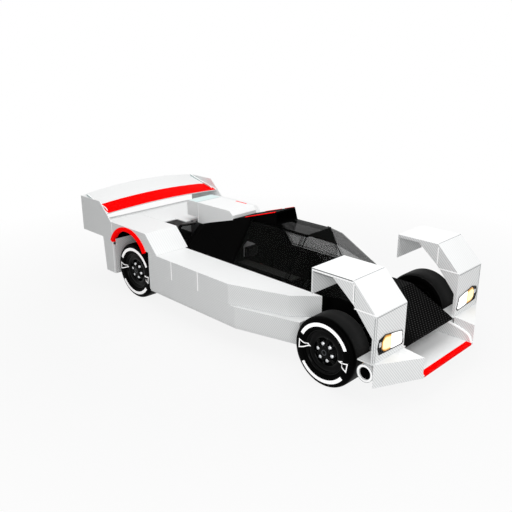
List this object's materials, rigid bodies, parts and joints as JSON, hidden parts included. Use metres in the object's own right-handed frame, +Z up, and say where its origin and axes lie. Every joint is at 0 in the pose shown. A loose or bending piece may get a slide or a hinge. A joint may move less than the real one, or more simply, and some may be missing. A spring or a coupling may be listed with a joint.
{
  "type": "endurance racing hypercar",
  "caption": "Closed-cockpit endurance race car with flat folded panels, tunnel fenders over the front wheels, a roof intake, an arched rear wing, steering and opening doors.",
  "frame": {"origin": "on the ground, at the middle of the length and width", "axes": "+X forward, +Y to the left side, +Z up"},
  "size_m": [5, 1.93, 1.319],
  "materials": {
    "white_panel": "gloss white over woven carbon panels, red stripes",
    "black_carbon": "black woven carbon, satin",
    "seat_shell": "black padded shell",
    "smoked_glass": "dark smoked pane",
    "machined_metal": "machined, satin",
    "tyre_rubber": "slick, matt, white sidewall bands",
    "rim_black": "gloss black",
    "lamp_lens": "clear lens over warm and white lamps"
  },
  "bodies": {
    "body": {"floor": "black_carbon", "diffuser": "black_carbon", "tub": "black_carbon", "nose": "black_carbon", "canopy_frame": "black_carbon", "canopy_rear": "black_carbon", "roof_scoop": "black_carbon", "dash": "black_carbon", "steering_wheel": "black_carbon", "seat": "seat_shell", "front_splitter": "white_panel", "engine_cover": "white_panel", "rear_deck": "white_panel", "rear_wing": "white_panel", "roof_pane": "smoked_glass", "windscreen": "smoked_glass", "power_unit": "machined_metal", "front_fender_right": "white_panel", "corner_block_right": "white_panel", "brake_duct_right": "white_panel", "pod_right": "white_panel", "sill_right": "white_panel", "rear_fender_right": "white_panel", "endplate_right": "white_panel", "headlamp_right": "lamp_lens", "front_arms_right": "machined_metal", "rear_arms_right": "machined_metal", "front_fender_left": "white_panel", "corner_block_left": "white_panel", "brake_duct_left": "white_panel", "pod_left": "white_panel", "sill_left": "white_panel", "rear_fender_left": "white_panel", "endplate_left": "white_panel", "headlamp_left": "lamp_lens", "front_arms_left": "machined_metal", "rear_arms_left": "machined_metal"},
    "door_right": {"door_frame_right": "black_carbon", "door_pane_right": "smoked_glass"},
    "knuckle_right": {"knuckle_right": "machined_metal"},
    "wheel_front_right": {"tyre_front_right": "tyre_rubber", "rim_front_right": "rim_black"},
    "wheel_rear_right": {"tyre_rear_right": "tyre_rubber", "rim_rear_right": "rim_black"},
    "door_left": {"door_frame_left": "black_carbon", "door_pane_left": "smoked_glass"},
    "knuckle_left": {"knuckle_left": "machined_metal"},
    "wheel_front_left": {"tyre_front_left": "tyre_rubber", "rim_front_left": "rim_black"},
    "wheel_rear_left": {"tyre_rear_left": "tyre_rubber", "rim_rear_left": "rim_black"}
  },
  "joints": [
    {"name": "door_right_hinge", "type": "hinge", "parent": "body", "child": "door_right", "pos_m": [0.4, -0.2085, 1.1655], "axis": [-1, 0, 0], "range_deg": [0, 70]},
    {"name": "steer_right", "type": "hinge", "parent": "body", "child": "knuckle_right", "pos_m": [1.698, -0.804, 0.355], "axis": [0, 0, 1], "range_deg": [-18, 18]},
    {"name": "spin_front_right", "type": "hinge", "parent": "knuckle_right", "child": "wheel_front_right", "pos_m": [1.698, -0.804, 0.355], "axis": [0, 1, 0], "continuous": true},
    {"name": "spin_rear_right", "type": "hinge", "parent": "body", "child": "wheel_rear_right", "pos_m": [-1.393, -0.759, 0.355], "axis": [0, 1, 0], "continuous": true},
    {"name": "door_left_hinge", "type": "hinge", "parent": "body", "child": "door_left", "pos_m": [0.4, 0.2085, 1.1655], "axis": [1, 0, 0], "range_deg": [0, 70]},
    {"name": "steer_left", "type": "hinge", "parent": "body", "child": "knuckle_left", "pos_m": [1.698, 0.804, 0.355], "axis": [0, 0, 1], "range_deg": [-18, 18]},
    {"name": "spin_front_left", "type": "hinge", "parent": "knuckle_left", "child": "wheel_front_left", "pos_m": [1.698, 0.804, 0.355], "axis": [0, 1, 0], "continuous": true},
    {"name": "spin_rear_left", "type": "hinge", "parent": "body", "child": "wheel_rear_left", "pos_m": [-1.393, 0.759, 0.355], "axis": [0, 1, 0], "continuous": true}
  ],
  "couplings": [
    {"joint": "steer_left", "follows": "steer_right", "ratio": 1}
  ]
}
